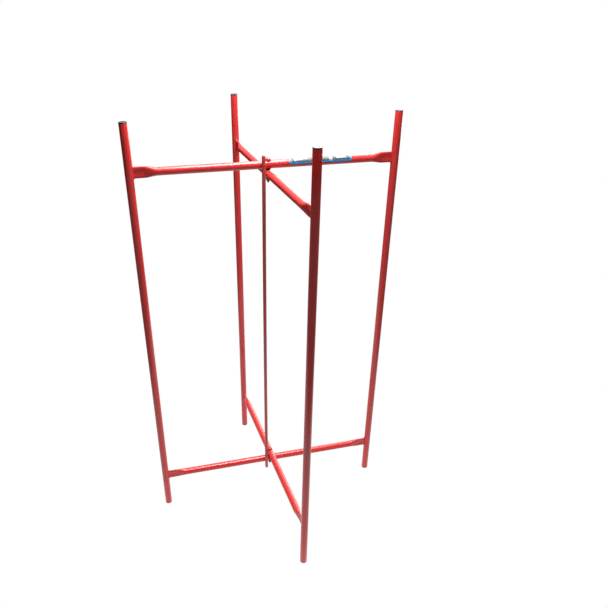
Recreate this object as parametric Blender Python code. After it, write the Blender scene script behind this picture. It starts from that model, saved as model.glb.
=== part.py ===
"""A folding four-post stand made of two crossed tube frames.

Frame A stands across X. Frame B crosses it and turns about the vertical pivot line at the origin.
Each frame is two legs joined by an upper and a lower cross tube, whose ends are pressed flat and
welded to the legs. Frame B's cross tubes lie between frame A's, and a bolt joins each crossing.
A thin rod welded to frame A's cross tubes ties them together and stops frame B past its open angle.
Metres, +Z up, origin on the floor on the pivot line.
"""

import math

import bmesh
import bpy
from mathutils import Matrix, Vector

MM = 0.001
FIT = 0.3 * MM                      # the gap between neighbouring pieces

# Driving dimensions
LEG_RADIUS = 8.5 * MM
LEG_WALL = 1.2 * MM
TOP_OF_POSTS = 1019.0 * MM
SPAN_A = 572.0 * MM                 # leg axis to leg axis
SPAN_B = 538.0 * MM                 # narrower, so that frame B folds between frame A's legs
OPEN_ANGLE = math.radians(85.0)     # between the two frames as the stand is set up
CROSS_RADIUS = 8.5 * MM
CROSS_WALL = 1.0 * MM
CROSS_HEIGHT = {
    "a_upper": 919.0 * MM,
    "a_lower": 98.3 * MM,
    "b_upper": 899.7 * MM,
    "b_lower": 119.5 * MM,
}

# Pressed ends of the cross tubes
FLAT_HALF_HEIGHT = 12.0 * MM
FLAT_HALF_WIDTH = 2.65 * MM
FLAT_LENGTH = 20.0 * MM
BLEND_LENGTH = 29.0 * MM
BLEND_STEPS = 4
CREASE_DEPTH = 0.5                  # how much thinner the pressed end is along its middle
WELD_SIZE = 2.0 * MM
WELD_LENGTH = 3.0 * MM

# Post plugs
PLUG_RIM_HEIGHT = 2.0 * MM
FOOT_RIM_HEIGHT = 1.0 * MM
PLUG_STEM_LENGTH = 12.0 * MM
PLUG_RIB_DEPTH = 0.7 * MM
PLUG_RIBS = 2
PLUG_EDGE = 0.5 * MM
DISH_RADIUS = 5.6 * MM
DISH_DEPTH = 0.6 * MM

# Tie rod
ROD_RADIUS = 4.0 * MM
ROD_X = -12.8 * MM
ROD_BOTTOM = 76.5 * MM
ROD_TOP = 942.0 * MM
ROD_END_BEVEL = 1.2 * MM

# Pivot hardware
BOLT_RADIUS = 2.5 * MM
BOLT_HEAD_RADIUS = 5.4 * MM
BOLT_HEAD_HEIGHT = 4.2 * MM
BOLT_TIP_LENGTH = 4.0 * MM
BOLT_TIP_BEVEL = 0.6 * MM
WASHER_RADIUS = 6.0 * MM
WASHER_THICKNESS = 1.0 * MM
SPACER_RADIUS = 5.2 * MM
NUT_ACROSS_FLATS = 9.0 * MM
NUT_HEIGHT = 5.0 * MM

# Label wrapped over the upper cross tube of frame A
LABEL_START = 44.5 * MM
LABEL_END = 182.0 * MM
LABEL_THICKNESS = 0.2 * MM
LABEL_FIRST_ANGLE = math.radians(-4.0)
LABEL_LAST_ANGLE = math.radians(190.0)

SIDES = 24                          # facets round a tube
SMALL_SIDES = 18                    # facets round a bolt, washer or plug
DOME_STEPS = 5
SHARP_ANGLE = math.radians(35.0)

RED = (0.62, 0.012, 0.018)
DARK_RED = (0.36, 0.012, 0.014)
BLACK = (0.02, 0.02, 0.02)
ZINC = (0.32, 0.31, 0.29)
WHITE = (0.85, 0.86, 0.86)


def clear_scene():
    for item in list(bpy.data.objects):
        bpy.data.objects.remove(item, do_unlink=True)


def make_material(name, colour, roughness, metallic):
    material = bpy.data.materials.new(name)
    material.use_nodes = True
    shader = material.node_tree.nodes["Principled BSDF"]
    shader.inputs["Base Color"].default_value = (*colour, 1.0)
    shader.inputs["Roughness"].default_value = roughness
    shader.inputs["Metallic"].default_value = metallic
    return material


def make_object(name, mesh_data, look, parent, location=(0.0, 0.0, 0.0)):
    """Closes the bmesh into a named object with its own material."""
    bmesh.ops.recalc_face_normals(mesh_data, faces=mesh_data.faces)
    mesh = bpy.data.meshes.new(name)
    mesh_data.to_mesh(mesh)
    mesh_data.free()
    mesh.shade_smooth()
    mesh.set_sharp_from_angle(angle=SHARP_ANGLE)
    mesh.materials.append(make_material(name, *look))
    item = bpy.data.objects.new(name, mesh)
    bpy.context.scene.collection.objects.link(item)
    item.parent = parent
    item.location = location
    return item


def make_empty(name, angle):
    """A frame's own axes: its legs stand along local X, and it turns about the pivot line."""
    empty = bpy.data.objects.new(name, None)
    bpy.context.scene.collection.objects.link(empty)
    empty.rotation_euler = (0.0, 0.0, angle)
    return empty


def bridge(mesh_data, first, second):
    count = len(first)
    for i in range(count):
        j = (i + 1) % count
        mesh_data.faces.new((first[i], first[j], second[j], second[i]))


def tube_from_rings(rings):
    """A closed wall: each ring of points joins the next, and the last joins the first."""
    mesh_data = bmesh.new()
    loops = [[mesh_data.verts.new(point) for point in ring] for ring in rings]
    for i, loop in enumerate(loops):
        bridge(mesh_data, loop, loops[(i + 1) % len(loops)])
    return mesh_data


def turned(profile, sides, closed):
    """Turns (radius, height) points about Z. An open profile starts and ends on the axis."""
    mesh_data = bmesh.new()
    verts = [mesh_data.verts.new((radius, 0.0, height)) for radius, height in profile]
    pairs = list(zip(verts, verts[1:]))
    if closed:
        pairs.append((verts[-1], verts[0]))
    edges = [mesh_data.edges.new(pair) for pair in pairs]
    bmesh.ops.spin(
        mesh_data, geom=verts + edges, cent=(0.0, 0.0, 0.0), axis=(0.0, 0.0, 1.0),
        angle=2.0 * math.pi, steps=sides, use_merge=True,
    )
    bmesh.ops.remove_doubles(mesh_data, verts=mesh_data.verts, dist=1e-6)
    return mesh_data


def circle(radius, height, sides=SIDES):
    return [
        Vector((radius * math.cos(turn), radius * math.sin(turn), height))
        for turn in (2.0 * math.pi * i / sides for i in range(sides))
    ]


def make_leg(name, parent, x, look):
    """A plain tube from just above its foot plug's rim to just under its top plug's rim."""
    bottom = FOOT_RIM_HEIGHT + FIT
    top = TOP_OF_POSTS - PLUG_RIM_HEIGHT - FIT
    edge = 0.25 * LEG_WALL
    bore = LEG_RADIUS - LEG_WALL
    rings = [
        circle(LEG_RADIUS - edge, bottom),
        circle(LEG_RADIUS, bottom + edge),
        circle(LEG_RADIUS, top - edge),
        circle(LEG_RADIUS - edge, top),
        circle(bore, top),
        circle(bore, bottom),
    ]
    return make_object(name, tube_from_rings(rings), look, parent, (x, 0.0, 0.0))


def plug_profile(rim_height, dished):
    """Half section of a push-in plug, rim upwards: a ribbed stem under a rim, heights from its seat."""
    stem = LEG_RADIUS - LEG_WALL - FIT
    core = stem - PLUG_RIB_DEPTH
    pitch = PLUG_STEM_LENGTH / PLUG_RIBS
    profile = [(0.0, rim_height)]
    if dished:
        profile = [
            (0.0, rim_height - DISH_DEPTH),
            (DISH_RADIUS - DISH_DEPTH, rim_height - DISH_DEPTH),
            (DISH_RADIUS, rim_height),
        ]
    profile += [
        (LEG_RADIUS - PLUG_EDGE, rim_height),
        (LEG_RADIUS, rim_height - PLUG_EDGE),
        (LEG_RADIUS, 0.0),
        (core, 0.0),
    ]
    for rib in range(PLUG_RIBS):
        start = -pitch * (rib + 0.4)
        profile += [(core, start), (stem, start - 0.2 * pitch), (core, start - 0.4 * pitch)]
    profile += [(core, -PLUG_STEM_LENGTH), (0.0, -PLUG_STEM_LENGTH)]
    return profile


def make_top_plug(name, parent, x, look):
    seat = TOP_OF_POSTS - PLUG_RIM_HEIGHT
    body = turned(plug_profile(PLUG_RIM_HEIGHT, True), SMALL_SIDES, False)
    return make_object(name, body, look, parent, (x, 0.0, seat))


def make_foot_plug(name, parent, x, look):
    body = turned(plug_profile(FOOT_RIM_HEIGHT, False), SMALL_SIDES, False)
    bmesh.ops.rotate(body, verts=body.verts, matrix=Matrix.Rotation(math.pi, 3, "X"))
    return make_object(name, body, look, parent, (x, 0.0, FOOT_RIM_HEIGHT))


def smooth(value):
    return value * value * (3.0 - 2.0 * value)


def section(flatness, grow, wall):
    """Points (y, z) round a cross tube: a circle when flatness is 0, a creased flat oval at 1."""
    half_height = CROSS_RADIUS + (FLAT_HALF_HEIGHT - CROSS_RADIUS) * flatness + grow - wall
    half_width = CROSS_RADIUS + (FLAT_HALF_WIDTH - CROSS_RADIUS) * flatness + grow - wall
    power = 1.0 / (1.0 + 0.6 * flatness)
    depth = CREASE_DEPTH * flatness ** 4
    points = []
    for i in range(SIDES):
        turn = 2.0 * math.pi * i / SIDES
        across = math.copysign(abs(math.cos(turn)) ** power, math.cos(turn))
        rise = math.copysign(abs(math.sin(turn)) ** power, math.sin(turn))
        crease = 1.0 - depth * math.exp(-((rise / 0.42) ** 2))
        points.append((half_width * across * crease, half_height * rise))
    return points


def tube_stations():
    """(distance inwards from the leg's wall, flatness, weld growth) from a tube's end to its middle."""
    stations = [(0.0, 1.0, WELD_SIZE), (0.4 * WELD_LENGTH, 1.0, 0.4 * WELD_SIZE), (WELD_LENGTH, 1.0, 0.0)]
    for step in range(BLEND_STEPS + 1):
        share = step / BLEND_STEPS
        stations.append((FLAT_LENGTH + BLEND_LENGTH * share, 1.0 - smooth(share), 0.0))
    return stations


def tube_ring(span, side, station, wall):
    """One ring of points across the tube; the end ring follows the leg's round wall."""
    inwards, flatness, grow = station
    clear = LEG_RADIUS + FIT
    ring = []
    for y, z in section(flatness, grow if wall == 0.0 else 0.0, wall):
        reach = span / 2.0 - clear - inwards
        if inwards == 0.0:
            reach = span / 2.0 - math.sqrt(clear * clear - y * y)
        ring.append(Vector((side * reach, y, z)))
    return ring


def make_cross_tube(name, parent, span, height, look):
    """A tube between two legs, with pressed ends, weld beads and a vertical hole for the bolt."""
    stations = tube_stations()
    outer = [tube_ring(span, -1.0, station, 0.0) for station in stations]
    outer += [tube_ring(span, 1.0, station, 0.0) for station in reversed(stations)]
    inner = [tube_ring(span, 1.0, station, CROSS_WALL) for station in stations]
    inner += [tube_ring(span, -1.0, station, CROSS_WALL) for station in reversed(stations)]
    tube = make_object(name, tube_from_rings(outer + inner), look, parent, (0.0, 0.0, height))
    drill = make_drill(name + "_drill", parent, height)
    cut = tube.modifiers.new("bolt_hole", "BOOLEAN")
    cut.operation = "DIFFERENCE"
    cut.solver = "EXACT"
    cut.object = drill
    return tube


def make_drill(name, parent, height):
    """The cutter for a bolt hole, which the stand itself doesn't have."""
    reach = 2.0 * CROSS_RADIUS
    radius = BOLT_RADIUS + FIT
    body = turned([(0.0, reach), (radius, reach), (radius, -reach), (0.0, -reach)], SMALL_SIDES, False)
    drill = make_object(name, body, (WHITE, 0.5, 0.0), parent, (0.0, 0.0, height))
    drill.hide_render = True
    drill.display_type = "WIRE"
    return drill


def make_tie_rod(name, parent, look):
    """Stands against frame A's two cross tubes, just beside the bolts."""
    y = -(CROSS_RADIUS + ROD_RADIUS + FIT)
    length = ROD_TOP - ROD_BOTTOM
    tip = ROD_RADIUS - ROD_END_BEVEL
    profile = [(0.0, length), (tip, length)]
    profile += [
        (tip + ROD_END_BEVEL * math.sin(turn), length - ROD_END_BEVEL * (1.0 - math.cos(turn)))
        for turn in (math.pi / 2.0 * i / 3 for i in range(1, 4))
    ]
    profile += [
        (tip + ROD_END_BEVEL * math.cos(turn), ROD_END_BEVEL * (1.0 - math.sin(turn)))
        for turn in (math.pi / 2.0 * i / 3 for i in range(0, 4))
    ]
    profile += [(0.0, 0.0)]
    return make_object(name, turned(profile, SMALL_SIDES, False), look, parent, (ROD_X, y, ROD_BOTTOM))


def make_label(name, parent, look):
    """A thin blank label bent over the top of the tube, from its front round to its back."""
    inside = CROSS_RADIUS + FIT
    outside = inside + LABEL_THICKNESS
    steps = SIDES // 2
    turns = [
        LABEL_FIRST_ANGLE + (LABEL_LAST_ANGLE - LABEL_FIRST_ANGLE) * i / steps for i in range(steps + 1)
    ]
    outline = [(-outside * math.cos(turn), outside * math.sin(turn)) for turn in turns]
    outline += [(-inside * math.cos(turn), inside * math.sin(turn)) for turn in reversed(turns)]
    mesh_data = bmesh.new()
    ends = [
        [mesh_data.verts.new((x, y, z)) for y, z in outline] for x in (LABEL_START, LABEL_END)
    ]
    bridge(mesh_data, *ends)
    for end in ends:
        count = len(end)
        for i in range(steps):
            mesh_data.faces.new((end[i], end[i + 1], end[count - 2 - i], end[count - 1 - i]))
    return make_object(name, mesh_data, look, parent, (0.0, 0.0, CROSS_HEIGHT["a_upper"]))


def ring_profile(radius, bore, bottom, top):
    return [(radius, top), (radius, bottom), (bore, bottom), (bore, top)]


def make_ring(name, parent, radius, bottom, top, look):
    body = turned(ring_profile(radius, BOLT_RADIUS + FIT, bottom, top), SMALL_SIDES, True)
    return make_object(name, body, look, parent)


def make_nut(name, parent, top, look):
    """A hexagon nut whose bore is as wide as a washer's; its threads aren't modelled."""
    corner = NUT_ACROSS_FLATS / math.sqrt(3.0)
    bottom = top - NUT_HEIGHT
    bore = BOLT_RADIUS + FIT
    around = SMALL_SIDES
    hexagon = []
    for i in range(around):
        turn = 2.0 * math.pi * i / around
        from_corner = (turn + math.pi / 6.0) % (math.pi / 3.0) - math.pi / 6.0
        reach = corner * math.cos(math.pi / 6.0) / math.cos(math.pi / 6.0 - abs(from_corner))
        hexagon.append((reach * math.cos(turn), reach * math.sin(turn)))
    rings = [
        [Vector((x, y, top)) for x, y in hexagon],
        [Vector((x, y, bottom)) for x, y in hexagon],
        circle(bore, bottom, around),
        circle(bore, top, around),
    ]
    return make_object(name, tube_from_rings(rings), look, parent)


def make_bolt(name, parent, head_seat, tip, look):
    """A round-headed bolt, head up, from its head's seat down to its tip."""
    profile = [(0.0, head_seat + BOLT_HEAD_HEIGHT)]
    for i in range(1, DOME_STEPS + 1):
        turn = math.pi / 2.0 * i / DOME_STEPS
        rise = BOLT_HEAD_HEIGHT * (0.25 + 0.75 * math.cos(turn))
        profile.append((BOLT_HEAD_RADIUS * math.sin(turn), head_seat + rise))
    profile += [
        (BOLT_HEAD_RADIUS, head_seat),
        (BOLT_RADIUS, head_seat),
        (BOLT_RADIUS, tip + BOLT_TIP_BEVEL),
        (BOLT_RADIUS - BOLT_TIP_BEVEL, tip),
        (0.0, tip),
    ]
    return make_object(name, turned(profile, SMALL_SIDES, False), look, parent)


def make_pivot(level, parent, top_tube, bottom_tube, looks):
    """The bolt, washers, spacer and nut through one crossing, from its head down."""
    top = top_tube + CROSS_RADIUS
    bottom = bottom_tube - CROSS_RADIUS
    washer_top = top + FIT + WASHER_THICKNESS
    washer_bottom = bottom - FIT - WASHER_THICKNESS
    nut_top = washer_bottom - FIT
    tip = nut_top - NUT_HEIGHT - BOLT_TIP_LENGTH
    make_ring("head_washer_" + level, parent, WASHER_RADIUS, top + FIT, washer_top, looks["paint"])
    make_bolt("pivot_bolt_" + level, parent, washer_top + FIT, tip, looks["paint"])
    spacer_bottom = bottom_tube + CROSS_RADIUS + FIT
    spacer_top = top_tube - CROSS_RADIUS - FIT
    make_ring("pivot_spacer_" + level, parent, SPACER_RADIUS, spacer_bottom, spacer_top, looks["plastic"])
    make_ring("nut_washer_" + level, parent, WASHER_RADIUS, washer_bottom, bottom - FIT, looks["zinc"])
    make_nut("pivot_nut_" + level, parent, nut_top, looks["zinc"])


def make_frame(letter, parent, span, ends, looks):
    """Two legs with their plugs, and the two cross tubes between them."""
    for x, end in zip((span / 2.0, -span / 2.0), ends):
        make_leg(f"leg_{end}", parent, x, looks["paint"])
        make_top_plug(f"top_plug_{end}", parent, x, looks["plastic"])
        make_foot_plug(f"foot_plug_{end}", parent, x, looks["plastic"])
    for level in ("upper", "lower"):
        height = CROSS_HEIGHT[f"{letter}_{level}"]
        make_cross_tube(f"cross_tube_{letter}_{level}", parent, span, height, looks["paint"])


def main():
    clear_scene()
    looks = {
        "paint": (RED, 0.28, 0.0),
        "rod_paint": (DARK_RED, 0.35, 0.0),
        "plastic": (BLACK, 0.4, 0.0),
        "zinc": (ZINC, 0.4, 0.9),
        "label": (WHITE, 0.3, 0.0),
    }
    frame_a = make_empty("frame_a", 0.0)
    frame_b = make_empty("frame_b", -OPEN_ANGLE)
    make_frame("a", frame_a, SPAN_A, ("right", "left"), looks)
    make_frame("b", frame_b, SPAN_B, ("front", "rear"), looks)
    make_tie_rod("tie_rod", frame_a, looks["rod_paint"])
    make_label("label", frame_a, looks["label"])
    make_pivot("upper", frame_a, CROSS_HEIGHT["a_upper"], CROSS_HEIGHT["b_upper"], looks)
    make_pivot("lower", frame_a, CROSS_HEIGHT["b_lower"], CROSS_HEIGHT["a_lower"], looks)


main()
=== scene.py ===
"""The looks of a folding four-post stand: two red enamelled tube frames that cross and turn on bolts."""

import math

import bpy
from mathutils import Matrix, Vector

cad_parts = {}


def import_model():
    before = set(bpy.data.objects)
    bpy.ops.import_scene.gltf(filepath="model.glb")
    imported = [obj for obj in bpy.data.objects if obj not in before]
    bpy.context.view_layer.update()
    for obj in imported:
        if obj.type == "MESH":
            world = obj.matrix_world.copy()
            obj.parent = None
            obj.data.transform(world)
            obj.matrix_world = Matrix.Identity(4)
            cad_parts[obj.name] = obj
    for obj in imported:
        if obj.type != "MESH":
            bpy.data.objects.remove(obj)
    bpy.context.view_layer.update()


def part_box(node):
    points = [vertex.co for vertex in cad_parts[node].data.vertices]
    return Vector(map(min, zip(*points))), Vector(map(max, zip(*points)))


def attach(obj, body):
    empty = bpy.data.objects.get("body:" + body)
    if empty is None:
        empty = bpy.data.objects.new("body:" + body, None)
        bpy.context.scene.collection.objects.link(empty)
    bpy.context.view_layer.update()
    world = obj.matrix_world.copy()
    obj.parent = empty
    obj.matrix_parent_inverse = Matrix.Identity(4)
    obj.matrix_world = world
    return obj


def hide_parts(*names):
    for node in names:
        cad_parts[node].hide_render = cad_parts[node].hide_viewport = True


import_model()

MM = 0.001
LEAST_RADIUS = 0.001 * MM

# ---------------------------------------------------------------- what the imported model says

BODY_OF_END = {"left": "frame_a", "right": "frame_a", "front": "frame_b", "rear": "frame_b"}
LEVELS = ("upper", "lower")
LEG_BOX = {end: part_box("leg_" + end) for end in BODY_OF_END}
LEG_RADIUS = (LEG_BOX["right"][1].x - LEG_BOX["right"][0].x) / 2.0
CROSS_RADIUS = (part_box("cross_tube_a_upper")[1].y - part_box("cross_tube_a_upper")[0].y) / 2.0
ROD_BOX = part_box("tie_rod")
ROD_RADIUS = (ROD_BOX[1].x - ROD_BOX[0].x) / 2.0
LABEL_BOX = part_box("label")


def middle(node):
    low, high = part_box(node)
    return (low + high) / 2.0


def leg_axis(end):
    """The foot of a leg's centre line, on the floor."""
    place = middle("leg_" + end)
    return Vector((place.x, place.y, 0.0))


# The direction of each frame's cross tubes, and the distance between its legs' centre lines
TURN = {
    "frame_a": 0.0,
    "frame_b": math.atan2(leg_axis("front").y, leg_axis("front").x),
}
SPAN = {
    "frame_a": (leg_axis("right") - leg_axis("left")).length,
    "frame_b": (leg_axis("front") - leg_axis("rear")).length,
}

# ---------------------------------------------------------------- detail that the meshes add, in metres

# How finely round things are divided
TUBE_SIDES = 64
PLUG_SIDES = 48
BOLT_SIDES = 48
NUT_SIDES = 72
ROD_SIDES = 32
BEAD_SIDES = 12
BEAD_STATIONS = 160
EDGE_STEPS = 4
FINE_EDGE_STEPS = 3
RIM_EDGE_STEPS = 8
FOOT_EDGE_STEPS = 6
DOME_STEPS = 12
HEAD_STEPS = 14

# Legs
LEG_WALL = 1.2 * MM
LEG_EDGE = 0.35 * MM
LEG_STEPS = 12

# Cross tubes, pressed flat and creased at their ends; the crease is given as shares of the section
FLAT_HALF_HEIGHT = 12.0 * MM
FLAT_HALF_WIDTH = 2.65 * MM
FLAT_LENGTH = 20.0 * MM
FLAT_STEPS = 6
FLAT_SQUARENESS = 0.6
BLEND_LENGTH = 29.0 * MM
BLEND_STEPS = 24
CREASE_DEPTH = 0.66
CREASE_REACH = 0.75
CREASE_FADE = 9.0 * MM
TUBE_END_BITE = 0.3 * MM

# Weld beads; ripple and swell are a share of the radius, and a turn in radians per station
BEAD_RADIUS = 1.45 * MM
BEAD_STAND_OFF = 0.4 * MM
BEAD_SINK = 0.2 * MM
BEAD_RIPPLE = (0.10, 2.0 * math.pi / 5.0)
BEAD_SWELL = (0.08, 0.37)

# Tie rod, and its tack welds as shares of the rod's radius
ROD_NOSE = 0.6 * ROD_RADIUS
ROD_NOSE_STEPS = 6
ROD_STEPS = 30
ROD_BOW = 0.8 * MM
TACK_HALF_HEIGHT = 1.1
TACK_HALF_WIDTH = 0.8
TACK_HALF_DEPTH = 0.5

# Plugs; a stem's taper is how much narrower its tip is, and over what height
STEM_RADIUS = LEG_RADIUS - 1.6 * MM
STEM_TAPER = (0.5 * MM, 1.0 * MM)
TOP_RIM = 2.0 * MM
TOP_RIM_EDGE = 0.7 * MM
TOP_RIM_UNDER_EDGE = 0.25 * MM
TOP_STEM_NECK = 0.2 * MM
DISH_RADIUS = 5.9 * MM
DISH_DEPTH = 0.8 * MM
DISH_SLOPE = 1.6
FOOT_RIM = 1.0 * MM
FOOT_EDGE = 0.4 * MM
FOOT_UPPER_EDGE = 0.2 * MM

# Bolts, washers, spacers and nuts
BOLT_RADIUS = 2.5 * MM
BOLT_TIP_TAPER = 0.8 * MM
THREAD_PITCH = 0.8 * MM
THREAD_DEPTH = 0.35 * MM
THREAD_START = 0.35
HEAD_SEAT_GAP = 0.3 * MM
HEAD_EDGE = 0.3 * MM
HEAD_EDGE_HEIGHT = 0.5 * MM
HEAD_CROWN_START = 0.8 * MM
RING_PLAY = 0.3 * MM
WASHER_EDGE = 0.2 * MM
SPACER_EDGE = 0.4 * MM
NUT_PLAY = 0.1 * MM
NUT_COLLAR = 0.28

# The label on the upper cross tube of frame A
LABEL_OUTSIDE = CROSS_RADIUS + 0.3 * MM
LABEL_INSIDE = CROSS_RADIUS + 0.05 * MM
LABEL_FIRST, LABEL_LAST = math.radians(-4.0), math.radians(190.0)
LABEL_COLUMNS, LABEL_ROWS = 24, 40

# Its print, in millimetres along and around it. The film goes on past the print's width in the
# border's blue. The wedge's edge is a slope and a start.
PRINT_WIDTH = 24.7
BORDER_AT_ENDS = 4.2
BORDER_AT_SIDES = 3.8
WEDGE_ALONG = (11.0, 41.0)
WEDGE_EDGE = (0.15, 5.0)
PATCH_ALONG = (87.0, 95.0)
BAR_ALONG = (104.0, 126.0)
BAR_INSET = 8.0

# ---------------------------------------------------------------- colours, stage and camera

TUBE_RED = ((0.75, 0.047, 0.044), (0.70, 0.040, 0.038))
ROD_RED = ((0.60, 0.090, 0.075), (0.52, 0.078, 0.066))
BOLT_RED = ((0.55, 0.060, 0.050), (0.46, 0.050, 0.044))
BLACK = (0.012, 0.012, 0.012)
# Plated steel for the nuts and their washers; its red tint is a painted reflection of the red tubes
ZINC_AND_PAINTED_RED_REFLECTION = ((0.16, 0.07, 0.065), (0.34, 0.20, 0.19))
LABEL_DARK = ((0.035, 0.037, 0.040), (0.055, 0.057, 0.060))
LABEL_BLUE = ((0.004, 0.22, 0.50), (0.010, 0.28, 0.58))
LABEL_SILVER = ((0.26, 0.26, 0.26), (0.34, 0.34, 0.34))

# The floor as a light: a bright pool under the stand, on a wide dim sheet; edges are radii in metres
FLOOR_SIZE = 30.0
FLOOR_DROP = 0.2 * MM
POOL_CENTRE = (0.0, 0.08, 0.0)
POOL_EDGE = (0.75, 0.95)
POOL_LIGHT = 1.05
SHEET_CENTRE = (0.0, -1.0, 0.0)
SHEET_EDGE = (2.5, 3.8)
SHEET_LIGHT = 0.28

# The surroundings as a light; each ramp is from one direction component to another
BEHIND_RAMP = (0.3, 0.6)
BACK_RAMP, BACK_LIGHT = (0.25, 0.45), (0.6, 0.8)
SIDE_RAMP, SIDE_SHARE = (-0.38, 0.05), (0.2, 1.3)
TOP_RAMP, TOP_LIGHT = (0.86, 0.94), 0.9

# Soft panels: name, place, the point each faces, width, height, radiance
PANELS = (
    ("high", (0.12, 0.0, 2.10), (0.12, 0.0, 0.0), 0.58, 1.10, 17.0),
    ("near", (0.0, -0.15, 1.45), (0.0, -0.15, 0.0), 0.30, 0.30, 8.5),
    ("rear", (0.26, 0.40, 1.45), (0.26, 0.40, 0.0), 0.42, 0.44, 10.0),
    ("right", (0.60, 0.15, 1.45), (0.60, 0.15, 0.0), 0.30, 0.30, 6.0),
    ("behind", (2.46, 3.15, 1.4), (0.0, 0.0, 1.4), 3.4, 2.4, 4.6),
)

CAMERA_PLACE = (-0.26506, -1.18967, 1.25629)
CAMERA_YAW = math.radians(13.758)
CAMERA_DOWN = math.radians(28.729)
CAMERA_ROLL = math.radians(0.240)
CAMERA_SENSOR = 36.0
CAMERA_LENS = 34.65
CAMERA_SHIFT = (0.0398, -0.0028)


# ---------------------------------------------------------------- meshes

def add_piece(name, points, faces, material, body, place, nodes=(), sharp=40.0):
    """Makes a smooth-shaded piece, which rides on a body and may stand for CAD nodes."""
    mesh = bpy.data.meshes.new(name)
    mesh.from_pydata([tuple(p) for p in points], [], faces)
    mesh.validate()
    mesh.update()
    mesh.shade_smooth()
    mesh.set_sharp_from_angle(angle=math.radians(sharp))
    mesh.materials.append(material)
    piece = bpy.data.objects.new(name, mesh)
    bpy.context.scene.collection.objects.link(piece)
    piece.matrix_world = place
    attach(piece, body)
    if nodes:
        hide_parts(*nodes)
    return piece


def loft(rings, closed=False):
    """Points and faces through rings of equal size. An open loft has a cap at each end."""
    count = len(rings[0])
    points = [p for ring in rings for p in ring]
    faces = []
    pairs = len(rings) if closed else len(rings) - 1
    for k in range(pairs):
        a, b = k * count, (k + 1) % len(rings) * count
        for i in range(count):
            j = (i + 1) % count
            faces.append((a + i, a + j, b + j, b + i))
    if not closed:
        faces.append(tuple(reversed(range(count))))
        last = (len(rings) - 1) * count
        faces.append(tuple(range(last, last + count)))
    return points, faces


def circle(radius, height, sides):
    turns = [2.0 * math.pi * i / sides for i in range(sides)]
    return [(radius * math.cos(t), radius * math.sin(t), height) for t in turns]


def lathe(profile, sides, closed=False):
    """Turns (radius, height) points about Z. A point on the axis becomes a ring of the least radius."""
    rings = [circle(max(r, LEAST_RADIUS), z, sides) for r, z in profile]
    return loft(rings, closed)


def arc(cx, cz, radius, start, end, steps):
    """Points on an arc of a profile; angles in degrees from the outward direction."""
    turns = [math.radians(start + (end - start) * i / steps) for i in range(steps + 1)]
    return [(cx + radius * math.cos(t), cz + radius * math.sin(t)) for t in turns]


def smooth(value):
    """An S-curve from 0 to 1."""
    return value * value * (3.0 - 2.0 * value)


# ---------------------------------------------------------------- materials

class Graph:
    """A node tree. Its calls add nodes and return an output; a value given may be plain or an output."""

    def __init__(self, tree):
        self.nodes = tree.nodes
        self.links = tree.links

    def add(self, kind):
        return self.nodes.new("ShaderNode" + kind)

    def feed(self, socket, value):
        if isinstance(value, bpy.types.NodeSocket):
            self.links.new(value, socket)
        else:
            socket.default_value = value

    def coords(self, kind):
        return self.add("TexCoord").outputs[kind]

    def parts(self, vector):
        """The X, Y and Z of a vector."""
        node = self.add("SeparateXYZ")
        self.feed(node.inputs["Vector"], vector)
        return node.outputs["X"], node.outputs["Y"], node.outputs["Z"]

    def maths(self, operation, first, second):
        node = self.add("Math")
        node.operation = operation
        self.feed(node.inputs[0], first)
        self.feed(node.inputs[1], second)
        return node.outputs["Value"]

    def distance(self, coords, centre):
        node = self.add("VectorMath")
        node.operation = "DISTANCE"
        self.feed(node.inputs[0], coords)
        self.feed(node.inputs[1], centre)
        return node.outputs["Value"]

    def noise(self, coords, scale, detail=3.0, roughness=0.55, stretch=(1.0, 1.0, 1.0)):
        mapping = self.add("Mapping")
        self.feed(mapping.inputs["Scale"], stretch)
        self.feed(mapping.inputs["Vector"], coords)
        node = self.add("TexNoise")
        self.feed(node.inputs["Scale"], scale)
        self.feed(node.inputs["Detail"], detail)
        self.feed(node.inputs["Roughness"], roughness)
        self.feed(node.inputs["Vector"], mapping.outputs["Vector"])
        return node.outputs["Fac"]

    def ramp(self, value, start, end, to_start, to_end):
        """A straight ramp, level outside start to end."""
        node = self.add("MapRange")
        self.feed(node.inputs["Value"], value)
        self.feed(node.inputs["From Min"], start)
        self.feed(node.inputs["From Max"], end)
        self.feed(node.inputs["To Min"], to_start)
        self.feed(node.inputs["To Max"], to_end)
        return node.outputs["Result"]

    def blend(self, factor, first, second):
        """A blend of two colours, each a tuple or an output."""
        node = self.add("Mix")
        node.data_type = "RGBA"
        self.feed(node.inputs["Factor"], factor)
        # 6 and 7 are a Mix node's two colour inputs, and 2 is its colour output
        for socket, colour in ((node.inputs[6], first), (node.inputs[7], second)):
            self.feed(socket, (*colour, 1.0) if isinstance(colour, tuple) else colour)
        return node.outputs[2]

    def white_to_camera(self, strength):
        """1 where the camera looks straight at it, and the given strength as a light."""
        node = self.add("Mix")
        self.feed(node.inputs["Factor"], self.add("LightPath").outputs["Is Camera Ray"])
        self.feed(node.inputs["A"], strength)
        self.feed(node.inputs["B"], 1.0)
        return node.outputs["Result"]

    def bump(self, shader, height, strength, distance):
        node = self.add("Bump")
        self.feed(node.inputs["Strength"], strength)
        self.feed(node.inputs["Distance"], distance)
        self.feed(node.inputs["Height"], height)
        self.feed(shader.inputs["Normal"], node.outputs["Normal"])


def new_material(name):
    material = bpy.data.materials.new(name)
    material.use_nodes = True
    graph = Graph(material.node_tree)
    return material, graph, graph.nodes["Principled BSDF"]


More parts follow.
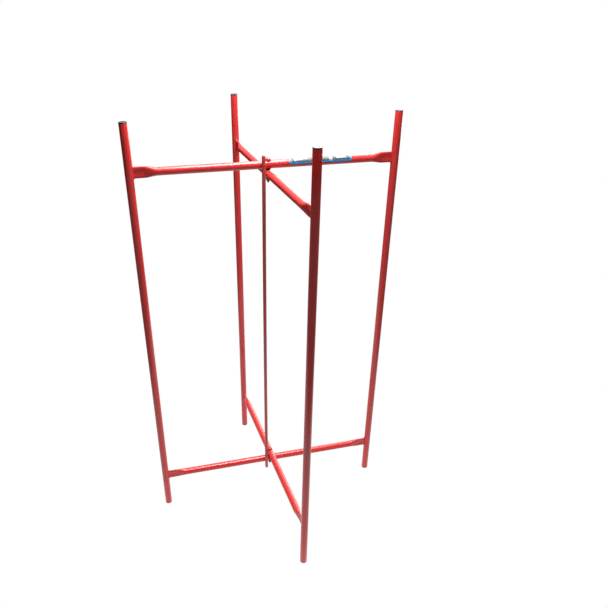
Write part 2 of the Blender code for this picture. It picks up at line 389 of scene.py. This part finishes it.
def enamel(name, colours, roughness):
    """Sprayed enamel: a gloss coat of uneven depth and shine, with hairline scuffs and faint orange peel."""
    material, graph, shader = new_material(name)
    coords = graph.coords("Object")
    depth = graph.noise(coords, scale=18.0, detail=4.0, roughness=0.6, stretch=(1.0, 1.0, 0.35))
    depth = graph.ramp(depth, start=0.35, end=0.7, to_start=0.0, to_end=1.0)
    graph.feed(shader.inputs["Base Color"], graph.blend(depth, *colours))
    gloss = graph.noise(coords, scale=25.0, detail=1.0, roughness=0.6)
    gloss = graph.ramp(gloss, start=0.3, end=0.7, to_start=roughness, to_end=roughness + 0.04)
    scuff = graph.noise(coords, scale=300.0, detail=2.0, roughness=0.5, stretch=(1.0, 1.0, 0.12))
    scuff = graph.ramp(scuff, start=0.66, end=0.74, to_start=0.0, to_end=0.03)
    graph.feed(shader.inputs["Roughness"], graph.maths("ADD", gloss, scuff))
    peel = graph.noise(coords, scale=350.0, detail=1.0, roughness=0.4)
    graph.bump(shader, peel, strength=0.005, distance=0.2 * MM)
    return material


def moulded_plastic(name, colour, roughness):
    """Moulded plastic: mottled, with fine scuffs that dull it in places."""
    material, graph, shader = new_material(name)
    coords = graph.coords("Object")
    lighter = tuple(c * 1.9 + 0.004 for c in colour)
    mottle = graph.noise(coords, scale=300.0)
    graph.feed(shader.inputs["Base Color"], graph.blend(mottle, colour, lighter))
    scuffs = graph.noise(coords, scale=900.0)
    dull = graph.ramp(scuffs, start=0.3, end=0.7, to_start=roughness - 0.06, to_end=roughness + 0.1)
    graph.feed(shader.inputs["Roughness"], dull)
    graph.bump(shader, scuffs, strength=0.08, distance=0.3 * MM)
    return material


def zinc_with_painted_reflection(name, colours):
    """Dull plated steel, uneven in colour and shine; its colours are tinted red as a painted reflection of
    the red tubes round it.
    """
    material, graph, shader = new_material(name)
    cloud = graph.noise(graph.coords("Object"), scale=420.0, detail=4.0)
    graph.feed(shader.inputs["Base Color"], graph.blend(cloud, *colours))
    dull = graph.ramp(cloud, start=0.3, end=0.7, to_start=0.35, to_end=0.6)
    graph.feed(shader.inputs["Roughness"], dull)
    graph.bump(shader, cloud, strength=0.1, distance=0.3 * MM)
    shader.inputs["Metallic"].default_value = 0.9
    return material


def label_print(name, length, width):
    """Dark film with a blue border, and a pale wedge, patch and bar: no words and no mark."""
    material, graph, shader = new_material(name)
    uv = graph.add("UVMap")
    uv.uv_map = "print"
    along, around, _ = graph.parts(uv.outputs["UV"])

    def between(value, start, end):
        above = graph.maths("GREATER_THAN", value, start)
        below = graph.maths("LESS_THAN", value, end)
        return graph.maths("MULTIPLY", above, below)

    def block(along_ends, inset):
        return graph.maths("MULTIPLY", between(along, *along_ends), between(around, inset, width - inset))

    field = block((BORDER_AT_ENDS, length - BORDER_AT_ENDS), BORDER_AT_SIDES)
    slope, start = WEDGE_EDGE
    edge = graph.maths("ADD", graph.maths("MULTIPLY", along, slope), start)
    wedge = graph.maths("MULTIPLY", graph.maths("GREATER_THAN", around, edge), between(along, *WEDGE_ALONG))
    patch = block(PATCH_ALONG, BORDER_AT_SIDES)
    bar = block(BAR_ALONG, BAR_INSET)
    shapes = graph.maths("MAXIMUM", graph.maths("MAXIMUM", wedge, patch), bar)
    pale = graph.maths("MULTIPLY", field, shapes)
    grain = graph.noise(graph.coords("Object"), scale=500.0)
    dark = graph.blend(grain, *LABEL_DARK)
    blue = graph.blend(grain, *LABEL_BLUE)
    silver = graph.blend(grain, *LABEL_SILVER)
    colour = graph.blend(pale, graph.blend(field, blue, dark), silver)
    graph.feed(shader.inputs["Base Color"], colour)
    dull = graph.ramp(grain, start=0.3, end=0.7, to_start=0.40, to_end=0.50)
    graph.feed(shader.inputs["Roughness"], dull)
    graph.bump(shader, grain, strength=0.05, distance=0.3 * MM)
    return material


# ---------------------------------------------------------------- tubes

def leg(end, material):
    """A plain tube, open at both ends, its outer edges a little rounded."""
    low, high = LEG_BOX[end]
    length = high.z - low.z
    bore = LEG_RADIUS - LEG_WALL
    rounded = LEG_RADIUS - LEG_EDGE
    profile = [(bore, 0.0)]
    profile += arc(rounded, LEG_EDGE, LEG_EDGE, -90.0, 0.0, EDGE_STEPS)
    profile += [(LEG_RADIUS, length * i / LEG_STEPS) for i in range(1, LEG_STEPS)]
    profile += arc(rounded, length - LEG_EDGE, LEG_EDGE, 0.0, 90.0, EDGE_STEPS)
    profile += [(bore, length)]
    points, faces = lathe(profile, TUBE_SIDES, closed=True)
    place = Matrix.Translation(leg_axis(end) + Vector((0.0, 0.0, low.z)))
    body = BODY_OF_END[end]
    add_piece(f"leg_tube_{end}", points, faces, material, body, place, [f"leg_{end}"])


def section(flatness, crease, sides, grow=0.0):
    """Points (y, z) round a cross tube: a circle when flatness is 0, a flat oval at 1, perhaps creased."""
    half_height = CROSS_RADIUS + (FLAT_HALF_HEIGHT - CROSS_RADIUS) * flatness + grow
    half_width = CROSS_RADIUS + (FLAT_HALF_WIDTH - CROSS_RADIUS) * flatness + grow
    power = 1.0 / (1.0 + FLAT_SQUARENESS * flatness)
    points = []
    for i in range(sides):
        turn = 2.0 * math.pi * i / sides
        across = math.copysign(abs(math.cos(turn)) ** power, math.cos(turn))
        rise = math.copysign(abs(math.sin(turn)) ** power, math.sin(turn))
        pinch = 1.0 - CREASE_DEPTH * crease * max(0.0, 1.0 - abs(rise) / CREASE_REACH)
        points.append((half_width * across * pinch, half_height * rise))
    return points


def cross_tube(letter, level, material):
    """A tube whose ends are pressed flat and creased where they meet the legs, and its two welds."""
    node = f"cross_tube_{letter}_{level}"
    body = f"frame_{letter}"
    end = SPAN[body] / 2.0 - LEG_RADIUS + TUBE_END_BITE
    stations = [FLAT_LENGTH * i / FLAT_STEPS for i in range(FLAT_STEPS)]
    stations += [FLAT_LENGTH + BLEND_LENGTH * i / BLEND_STEPS for i in range(BLEND_STEPS + 1)]
    rings = []
    for side in (-1.0, 1.0):
        half = []
        for inwards in stations:
            past_flat = max(0.0, inwards - FLAT_LENGTH)
            flatness = 1.0 - smooth(past_flat / BLEND_LENGTH)
            crease = 1.0 - smooth(min(1.0, past_flat / CREASE_FADE))
            outline = section(flatness, crease, TUBE_SIDES)
            half.append([(side * (end - inwards), y, z) for y, z in outline])
        rings += half if side < 0 else half[::-1]
    points, faces = loft(rings)
    place = Matrix.Translation((0.0, 0.0, middle(node).z)) @ Matrix.Rotation(TURN[body], 4, "Z")
    add_piece(f"tube_{letter}_{level}", points, faces, material, body, place, [node])
    for side, name in ((-1.0, "inner"), (1.0, "outer")):
        weld_bead(f"weld_{letter}_{level}_{name}", side, material, body, place)


def weld_bead(name, side, material, body, place):
    """A rippled bead round a pressed tube end, on the wall of its leg."""
    outline = section(1.0, 1.0, BEAD_STATIONS, BEAD_STAND_OFF)
    inward = Vector((-side, 0.0, 0.0))
    rings = []
    for k, (y, z) in enumerate(outline):
        before, after = outline[k - 1], outline[(k + 1) % len(outline)]
        along = Vector((0.0, after[0] - before[0], after[1] - before[1])).normalized()
        out = Vector((0.0, along.z, -along.y))
        ripple = BEAD_RIPPLE[0] * math.sin(k * BEAD_RIPPLE[1])
        swell = BEAD_SWELL[0] * math.sin(k * BEAD_SWELL[1] + side)
        radius = BEAD_RADIUS * (1.0 + ripple + swell)
        wall = math.sqrt(max(LEG_RADIUS ** 2 - y * y, 0.0))
        centre = Vector((side * (SPAN[body] / 2.0 - wall - BEAD_SINK), y, z))
        turns = [2.0 * math.pi * i / BEAD_SIDES for i in range(BEAD_SIDES)]
        rings.append([centre + radius * (math.cos(t) * out + math.sin(t) * inward) for t in turns])
    points, faces = loft(rings, closed=True)
    add_piece(name, points, faces, material, body, place, sharp=80.0)


def tie_rod(material):
    """A thin rod with rounded ends and a slight bow, tacked to the front of frame A's cross tubes."""
    low, high = ROD_BOX
    length = high.z - low.z
    flat = ROD_RADIUS - ROD_NOSE
    profile = [(0.0, 0.0), (flat, 0.0)]
    profile += arc(flat, ROD_NOSE, ROD_NOSE, -80.0, 0.0, ROD_NOSE_STEPS)
    profile += [(ROD_RADIUS, length * i / ROD_STEPS) for i in range(1, ROD_STEPS)]
    profile += arc(flat, length - ROD_NOSE, ROD_NOSE, 0.0, 80.0, ROD_NOSE_STEPS)
    profile += [(flat, length), (0.0, length)]
    points, faces = lathe(profile, ROD_SIDES)
    bowed = []
    for x, y, z in points:
        share = min(max(z / length, 0.0), 1.0)
        bowed.append((x + ROD_BOW * (0.5 - math.sin(math.pi * share)), y, z))
    place = Matrix.Translation(((low.x + high.x) / 2.0, (low.y + high.y) / 2.0, low.z))
    add_piece("rod", bowed, faces, material, "frame_a", place, ["tie_rod"])


def rod_tack(level, material):
    """A small bead of weld between the rod and a cross tube."""
    half_height = TACK_HALF_HEIGHT * ROD_RADIUS
    half_width = TACK_HALF_WIDTH * ROD_RADIUS
    turns = [math.pi * i / DOME_STEPS for i in range(DOME_STEPS + 1)]
    profile = [(half_width * math.sin(t), -half_height * math.cos(t)) for t in turns]
    points, faces = lathe(profile, ROD_SIDES)
    flatten = TACK_HALF_DEPTH / TACK_HALF_WIDTH
    points = [(x, y * flatten, z) for x, y, z in points]
    low, high = ROD_BOX
    place = Matrix.Translation(((low.x + high.x) / 2.0, high.y, middle("cross_tube_a_" + level).z))
    add_piece("rod_tack_" + level, points, faces, material, "frame_a", place)


# ---------------------------------------------------------------- plugs

def top_plug(end, material):
    """A push-in plug: a stem in the tube, a rounded rim and a dished top."""
    node = f"top_plug_{end}"
    low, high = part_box(node)
    seat = high.z - TOP_RIM
    tip = low.z - seat
    narrow, rise = STEM_TAPER
    edge, under = TOP_RIM_EDGE, TOP_RIM_UNDER_EDGE
    profile = [(0.0, tip), (STEM_RADIUS - narrow, tip), (STEM_RADIUS, tip + rise)]
    profile += [(STEM_RADIUS, -TOP_STEM_NECK), (STEM_RADIUS, 0.0)]
    profile += arc(LEG_RADIUS - under, under, under, -90.0, 0.0, FINE_EDGE_STEPS)
    profile += arc(LEG_RADIUS - edge, TOP_RIM - edge, edge, 0.0, 90.0, RIM_EDGE_STEPS)
    for i in range(DOME_STEPS + 1):
        share = i / DOME_STEPS
        sunk = DISH_DEPTH * smooth(min(1.0, DISH_SLOPE * share))
        profile.append((DISH_RADIUS * (1.0 - share), TOP_RIM - sunk))
    points, faces = lathe(profile, PLUG_SIDES)
    place = Matrix.Translation(leg_axis(end) + Vector((0.0, 0.0, seat)))
    add_piece(f"post_plug_{end}", points, faces, material, BODY_OF_END[end], place, [node])


def foot_plug(end, material):
    """A push-in foot: a thin rounded rim on the floor and a stem in the tube."""
    node = f"foot_plug_{end}"
    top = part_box(node)[1].z
    narrow, rise = STEM_TAPER
    edge, upper = FOOT_EDGE, FOOT_UPPER_EDGE
    profile = [(0.0, 0.0)] + arc(LEG_RADIUS - edge, edge, edge, -90.0, 0.0, FOOT_EDGE_STEPS)
    profile += arc(LEG_RADIUS - upper, FOOT_RIM - upper, upper, 0.0, 90.0, FINE_EDGE_STEPS)
    profile += [(STEM_RADIUS, FOOT_RIM), (STEM_RADIUS, top - rise), (STEM_RADIUS - narrow, top), (0.0, top)]
    points, faces = lathe(profile, PLUG_SIDES)
    place = Matrix.Translation(leg_axis(end))
    add_piece(f"foot_cap_{end}", points, faces, material, BODY_OF_END[end], place, [node])


# ---------------------------------------------------------------- pivots

def ring_piece(node, name, material, edge):
    """A washer or spacer with rounded outer edges."""
    low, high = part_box(node)
    radius, height = (high.x - low.x) / 2.0, high.z - low.z
    bore = BOLT_RADIUS + RING_PLAY
    profile = [(bore, 0.0)] + arc(radius - edge, edge, edge, -90.0, 0.0, EDGE_STEPS)
    profile += arc(radius - edge, height - edge, edge, 0.0, 90.0, EDGE_STEPS) + [(bore, height)]
    points, faces = lathe(profile, BOLT_SIDES, closed=True)
    place = Matrix.Translation((0.0, 0.0, low.z))
    add_piece(name, points, faces, material, "frame_a", place, [node])


def bolt(level, material):
    """A domed head on a shank, with thread ridges where its tip comes out below the nut."""
    node = "pivot_bolt_" + level
    low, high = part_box(node)
    radius = (high.x - low.x) / 2.0
    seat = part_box("head_washer_" + level)[1].z + HEAD_SEAT_GAP - low.z
    threads = int((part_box("pivot_nut_" + level)[0].z - low.z) / THREAD_PITCH)
    profile = [(0.0, 0.0), (BOLT_RADIUS - BOLT_TIP_TAPER, 0.0)]
    for k in range(threads):
        start = THREAD_PITCH * (k + THREAD_START)
        profile += [(BOLT_RADIUS - THREAD_DEPTH, start), (BOLT_RADIUS, start + 0.5 * THREAD_PITCH)]
    profile += [(BOLT_RADIUS, seat), (radius - HEAD_EDGE, seat)]
    profile += arc(radius - HEAD_EDGE, seat + HEAD_EDGE_HEIGHT, HEAD_EDGE, -90.0, 0.0, EDGE_STEPS)
    base = seat + HEAD_CROWN_START
    crown = high.z - low.z - base
    turns = [math.pi / 2.0 * i / HEAD_STEPS for i in range(HEAD_STEPS + 1)]
    profile += [(radius * math.cos(t), base + crown * math.sin(t)) for t in turns]
    points, faces = lathe(profile, BOLT_SIDES)
    place = Matrix.Translation((0.0, 0.0, low.z))
    add_piece("bolt_" + level, points, faces, material, "frame_a", place, [node], 50.0)


def hexagon(flats, reach, height):
    """A ring with six flats, cut back to a circle where its corners pass the reach."""
    ring = []
    for i in range(NUT_SIDES):
        turn = 2.0 * math.pi * i / NUT_SIDES
        off = (turn + math.pi / 6.0) % (math.pi / 3.0) - math.pi / 6.0
        radius = min(flats / math.cos(math.pi / 6.0 - abs(off)), reach)
        ring.append((radius * math.cos(turn), radius * math.sin(turn), height))
    return ring


def nut(level, material):
    """A hexagon nut with chamfered corners and a round collar below."""
    node = "pivot_nut_" + level
    low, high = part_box(node)
    height = high.z - low.z
    flats = (high.y - low.y) / 2.0
    corner = flats / math.cos(math.pi / 6.0)
    collar = NUT_COLLAR * height
    bore = BOLT_RADIUS + NUT_PLAY
    # Shares of the flats and of the height, which taper the collar and chamfer the corners
    rings = [
        circle(bore, 0.0, NUT_SIDES),
        circle(0.82 * flats, 0.0, NUT_SIDES),
        circle(0.93 * flats, 0.1 * collar, NUT_SIDES),
        circle(0.95 * flats, collar, NUT_SIDES),
        hexagon(flats, 0.99 * flats, collar),
        hexagon(flats, corner, collar + 0.12 * height),
        hexagon(flats, corner, 0.9 * height),
        hexagon(flats, 1.02 * flats, height),
        circle(bore, height, NUT_SIDES),
    ]
    points, faces = loft(rings, closed=True)
    place = Matrix.Translation((0.0, 0.0, low.z))
    add_piece("nut_" + level, points, faces, material, "frame_a", place, [node], 30.0)


# ---------------------------------------------------------------- label

def label(material):
    """A printed film wrapped over the tube. Its UVs are millimetres along and around it."""
    low, high = LABEL_BOX
    length = high.x - low.x
    turns = [LABEL_FIRST + (LABEL_LAST - LABEL_FIRST) * i / LABEL_ROWS for i in range(LABEL_ROWS + 1)]
    rings = []
    for k in range(LABEL_COLUMNS + 1):
        x = low.x + length * k / LABEL_COLUMNS
        ring = [(x, -LABEL_OUTSIDE * math.cos(t), LABEL_OUTSIDE * math.sin(t)) for t in turns]
        ring += [(x, -LABEL_INSIDE * math.cos(t), LABEL_INSIDE * math.sin(t)) for t in reversed(turns)]
        rings.append(ring)
    points, faces = loft(rings)
    # A ring is a thin bent strip, so strips of quads close its ends in place of loft's two caps
    faces = faces[:-2]
    count = len(rings[0])
    for start in (0, LABEL_COLUMNS * count):
        for i in range(LABEL_ROWS):
            quad = (start + i, start + i + 1, start + count - 2 - i, start + count - 1 - i)
            faces.append(quad if start else tuple(reversed(quad)))
    place = Matrix.Translation((0.0, 0.0, middle("cross_tube_a_upper").z))
    piece = add_piece("tube_label", points, faces, material, "frame_a", place, ["label"])
    layer = piece.data.uv_layers.new(name="print")
    for loop in piece.data.loops:
        x, y, z = piece.data.vertices[loop.vertex_index].co
        # Past half a turn, atan2 starts again from minus half a turn
        around = math.atan2(z, -y) - LABEL_FIRST
        if around < -math.pi / 2.0:
            around += 2.0 * math.pi
        layer.data[loop.index].uv = ((x - low.x) / MM, around * LABEL_OUTSIDE / MM)


# ---------------------------------------------------------------- stage

def floor():
    """A pale floor, plain white to the eye. As a light it is a bright pool on a wide dim sheet."""
    size = FLOOR_SIZE
    corners = [(-size, -size, 0.0), (size, -size, 0.0), (size, size, 0.0), (-size, size, 0.0)]
    mesh = bpy.data.meshes.new("floor")
    mesh.from_pydata(corners, [], [(0, 1, 2, 3)])
    item = bpy.data.objects.new("floor", mesh)
    bpy.context.scene.collection.objects.link(item)
    item.location.z = -FLOOR_DROP
    material, graph, shader = new_material("floor")
    graph.nodes.remove(shader)
    coords = graph.coords("Object")
    pool = graph.ramp(graph.distance(coords, POOL_CENTRE), *POOL_EDGE, POOL_LIGHT, SHEET_LIGHT)
    beyond = graph.ramp(graph.distance(coords, SHEET_CENTRE), *SHEET_EDGE, 0.0, SHEET_LIGHT)
    strength = graph.maths("SUBTRACT", pool, beyond)
    glow = graph.add("Emission")
    graph.feed(glow.inputs["Strength"], graph.white_to_camera(strength))
    graph.feed(graph.nodes["Material Output"].inputs["Surface"], glow.outputs["Emission"])
    mesh.materials.append(material)


def world():
    """White to the eye. As a light it glows behind the stand, most to the right, and overhead."""
    scene_world = bpy.data.worlds.new("studio")
    scene_world.use_nodes = True
    bpy.context.scene.world = scene_world
    graph = Graph(scene_world.node_tree)
    x, y, z = graph.parts(graph.coords("Generated"))
    behind = graph.ramp(y, *BEHIND_RAMP, 0.0, 1.0)
    back = graph.maths("MULTIPLY", graph.ramp(z, *BACK_RAMP, *BACK_LIGHT), behind)
    back = graph.maths("MULTIPLY", back, graph.ramp(x, *SIDE_RAMP, *SIDE_SHARE))
    strength = graph.maths("ADD", back, graph.ramp(z, *TOP_RAMP, 0.0, TOP_LIGHT))
    background = graph.nodes["Background"]
    graph.feed(background.inputs["Strength"], graph.white_to_camera(strength))
    graph.feed(background.inputs["Color"], (1.0, 1.0, 1.0, 1.0))


def softbox(name, place, aim, width, height, radiance):
    """A soft panel facing a point. Radiance 1 would look as bright as the white floor."""
    light = bpy.data.lights.new(name, "AREA")
    light.shape = "RECTANGLE"
    light.size = width
    light.size_y = height
    light.energy = radiance * math.pi * width * height
    item = bpy.data.objects.new(name, light)
    bpy.context.scene.collection.objects.link(item)
    item.location = place
    item.rotation_euler = (Vector(aim) - Vector(place)).to_track_quat("-Z", "Y").to_euler()
    item.visible_camera = False


def camera():
    data = bpy.data.cameras.new("camera")
    data.sensor_width = CAMERA_SENSOR
    data.lens = CAMERA_LENS
    data.shift_x, data.shift_y = CAMERA_SHIFT
    item = bpy.data.objects.new("camera", data)
    bpy.context.scene.collection.objects.link(item)
    item.matrix_world = (
        Matrix.Translation(CAMERA_PLACE)
        @ Matrix.Rotation(-CAMERA_YAW, 4, "Z")
        @ Matrix.Rotation(math.pi / 2.0 - CAMERA_DOWN, 4, "X")
        @ Matrix.Rotation(CAMERA_ROLL, 4, "Z")
    )
    bpy.context.scene.camera = item


# ---------------------------------------------------------------- the stand

red = enamel("red_enamel", TUBE_RED, roughness=0.18)
rod_red = enamel("rod_enamel", ROD_RED, roughness=0.25)
bolt_red = enamel("bolt_enamel", BOLT_RED, roughness=0.30)
plastic = moulded_plastic("plug_plastic", BLACK, roughness=0.2)
steel = zinc_with_painted_reflection("zinc_with_painted_reflection", ZINC_AND_PAINTED_RED_REFLECTION)
film = label_print("label_print", (LABEL_BOX[1].x - LABEL_BOX[0].x) / MM, PRINT_WIDTH)

for post in BODY_OF_END:
    leg(post, red)
    top_plug(post, plastic)
    foot_plug(post, plastic)
for which in ("a", "b"):
    for height in LEVELS:
        cross_tube(which, height, red)
tie_rod(rod_red)
for height in LEVELS:
    rod_tack(height, red)
for height in LEVELS:
    bolt(height, bolt_red)
    ring_piece("head_washer_" + height, "washer_under_head_" + height, bolt_red, WASHER_EDGE)
    ring_piece("pivot_spacer_" + height, "spacer_" + height, plastic, SPACER_EDGE)
    ring_piece("nut_washer_" + height, "washer_over_nut_" + height, steel, WASHER_EDGE)
    nut(height, steel)
label(film)

floor()
world()
for panel in PANELS:
    softbox(*panel)
camera()
view = bpy.context.scene.view_settings
view.view_transform = "Standard"
view.look = "None"
